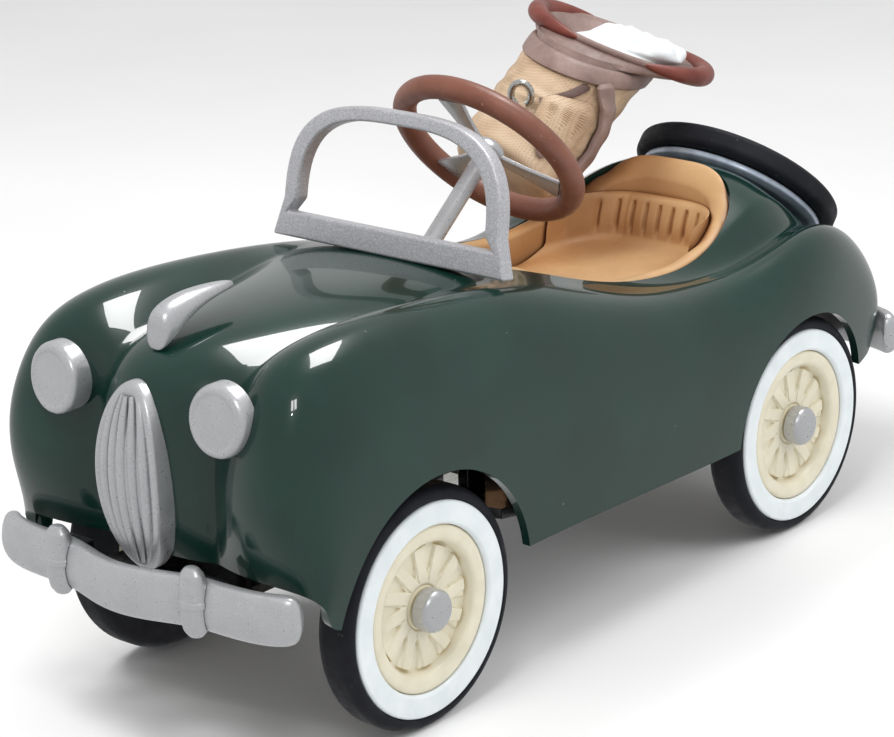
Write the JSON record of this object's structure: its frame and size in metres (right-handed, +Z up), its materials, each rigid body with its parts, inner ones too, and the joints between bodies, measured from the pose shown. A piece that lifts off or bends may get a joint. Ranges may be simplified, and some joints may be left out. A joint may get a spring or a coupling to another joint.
{
  "type": "miniature pedal car",
  "caption": "Collectible miniature of a vintage pedal roadster in dark green with whitewall wheels, chrome trim, tan cockpit and a golf bag behind the wheel.",
  "frame": {"origin": "On the floor plane under the middle of the car's bounding box, where the tyres stand.", "axes": "-Y is the front of the car, +X is the car's left side, +Z is up."},
  "size_m": [0.0426, 0.116, 0.0587],
  "materials": {
    "green_paint": "deep green gloss enamel over metal, hard clear reflections",
    "silver_paint": "silver metallic lacquer with visible flake, satin gloss",
    "tan_plastic": "tan moulded plastic with a soft sheen, in imitation of leather",
    "brown_plastic": "red-brown moulded plastic, satin gloss",
    "tyre_rubber": "black, smooth, slightly blue sheen",
    "white_rubber": "white band, satin",
    "cream_plastic": "cream moulded plastic with raised spokes",
    "black_plastic": "black gloss",
    "steel": "plain bright steel",
    "bag_canvas": "painted tan, moulded to look like canvas",
    "bag_leather": "painted brown, moulded to look like leather",
    "bag_red_leather": "painted dark red-brown, satin",
    "towel_white": "painted white, moulded folds"
  },
  "bodies": {
    "car": {"body_shell": "green_paint", "base_plate": "black_plastic", "interior_tub": "tan_plastic", "seat_insert": "tan_plastic", "windshield_frame": "silver_paint", "grille": "silver_paint", "headlamp_left": "silver_paint", "headlamp_right": "silver_paint", "hood_mascot": "silver_paint", "front_bumper": "silver_paint", "rear_bumper": "silver_paint", "front_overrider_left": "silver_paint", "front_overrider_right": "silver_paint", "rear_overrider_left": "silver_paint", "rear_overrider_right": "silver_paint", "spare_seat_ring": "silver_paint", "spare_tyre": "tyre_rubber", "spare_whitewall": "white_rubber", "spare_spoked_wheel": "cream_plastic", "spare_hub_cap": "silver_paint", "bag_body": "bag_canvas", "bag_rim": "bag_red_leather", "bag_pocket": "bag_canvas", "bag_strap": "bag_leather", "bag_towel": "towel_white", "hanging_eye": "steel", "column_bracket": "black_plastic", "front_axle_beam": "black_plastic", "kingpin_left": "steel", "kingpin_right": "steel", "axle_block_left": "black_plastic", "axle_block_right": "black_plastic", "pedal_pivot_rod": "steel"},
    "steering": {"steering_rim": "brown_plastic", "steering_spider": "silver_paint", "steering_column": "silver_paint"},
    "tie_rod": {"tie_rod": "steel"},
    "knuckle_left": {"knuckle_left": "steel"},
    "knuckle_right": {"knuckle_right": "steel"},
    "front_wheel_left": {"front_left_tyre": "tyre_rubber", "front_left_whitewall": "white_rubber", "front_left_spoked_wheel": "cream_plastic", "front_left_hub_cap": "silver_paint"},
    "front_wheel_right": {"front_right_tyre": "tyre_rubber", "front_right_whitewall": "white_rubber", "front_right_spoked_wheel": "cream_plastic", "front_right_hub_cap": "silver_paint"},
    "rear_axle": {"crank_axle": "steel", "rear_left_tyre": "tyre_rubber", "rear_left_whitewall": "white_rubber", "rear_left_spoked_wheel": "cream_plastic", "rear_left_hub_cap": "silver_paint"},
    "rear_wheel_right": {"rear_right_tyre": "tyre_rubber", "rear_right_whitewall": "white_rubber", "rear_right_spoked_wheel": "cream_plastic", "rear_right_hub_cap": "silver_paint"},
    "pedal_left": {"pedal_left": "black_plastic"},
    "pedal_right": {"pedal_right": "black_plastic"},
    "drive_rod_left": {"drive_rod_left": "steel"},
    "drive_rod_right": {"drive_rod_right": "steel"}
  },
  "joints": [
    {"name": "steering_turn", "type": "hinge", "parent": "car", "child": "steering", "pos_m": [0, 0.0015, 0.0494], "axis": [0, 0.783, 0.622], "range_deg": [-40.5, 40.5]},
    {"name": "tie_rod_slide", "type": "slide", "parent": "car", "child": "tie_rod", "axis": [1, 0, 0], "range_m": [-0.0016, 0.0016]},
    {"name": "kingpin_left_turn", "type": "hinge", "parent": "car", "child": "knuckle_left", "pos_m": [0.013, -0.0332, 0.0127], "axis": [0, 0, 1], "range_deg": [-16, 16]},
    {"name": "kingpin_right_turn", "type": "hinge", "parent": "car", "child": "knuckle_right", "pos_m": [-0.013, -0.0332, 0.0127], "axis": [0, 0, 1], "range_deg": [-16.5, 16.5]},
    {"name": "front_wheel_left_spin", "type": "hinge", "parent": "knuckle_left", "child": "front_wheel_left", "pos_m": [0.0177, -0.0332, 0.0127], "axis": [1, 0, 0], "continuous": true},
    {"name": "front_wheel_right_spin", "type": "hinge", "parent": "knuckle_right", "child": "front_wheel_right", "pos_m": [-0.0177, -0.0332, 0.0127], "axis": [1, 0, 0], "continuous": true},
    {"name": "rear_axle_spin", "type": "hinge", "parent": "car", "child": "rear_axle", "pos_m": [0, 0.0322, 0.0127], "axis": [1, 0, 0], "continuous": true},
    {"name": "rear_wheel_right_spin", "type": "hinge", "parent": "rear_axle", "child": "rear_wheel_right", "pos_m": [-0.0177, 0.0322, 0.0127], "axis": [1, 0, 0], "continuous": true},
    {"name": "pedal_left_swing", "type": "hinge", "parent": "car", "child": "pedal_left", "pos_m": [0.0046, -0.0145, 0.031], "axis": [1, 0, 0], "range_deg": [-6.8, 6.8]},
    {"name": "pedal_right_swing", "type": "hinge", "parent": "car", "child": "pedal_right", "pos_m": [-0.0046, -0.0145, 0.031], "axis": [1, 0, 0], "range_deg": [-6.8, 6.8]},
    {"name": "drive_rod_left_pivot", "type": "hinge", "parent": "pedal_left", "child": "drive_rod_left", "pos_m": [0.0035, -0.0145, 0.0127], "axis": [1, 0, 0], "range_deg": [-6.8, 6.8]},
    {"name": "drive_rod_right_pivot", "type": "hinge", "parent": "pedal_right", "child": "drive_rod_right", "pos_m": [-0.0035, -0.0145, 0.0127], "axis": [1, 0, 0], "range_deg": [-6.8, 6.8]}
  ],
  "couplings": [
    {"joint": "steering_turn", "follows": "kingpin_left_turn", "ratio": 2.5},
    {"joint": "tie_rod_slide", "follows": "kingpin_left_turn", "m_per_rad": 0.0055},
    {"joint": "kingpin_right_turn", "follows": "kingpin_left_turn", "ratio": 1},
    {"joint": "pedal_right_swing", "follows": "pedal_left_swing", "ratio": -1},
    {"joint": "drive_rod_left_pivot", "follows": "pedal_left_swing", "ratio": -1},
    {"joint": "drive_rod_right_pivot", "follows": "pedal_left_swing", "ratio": 1}
  ]
}
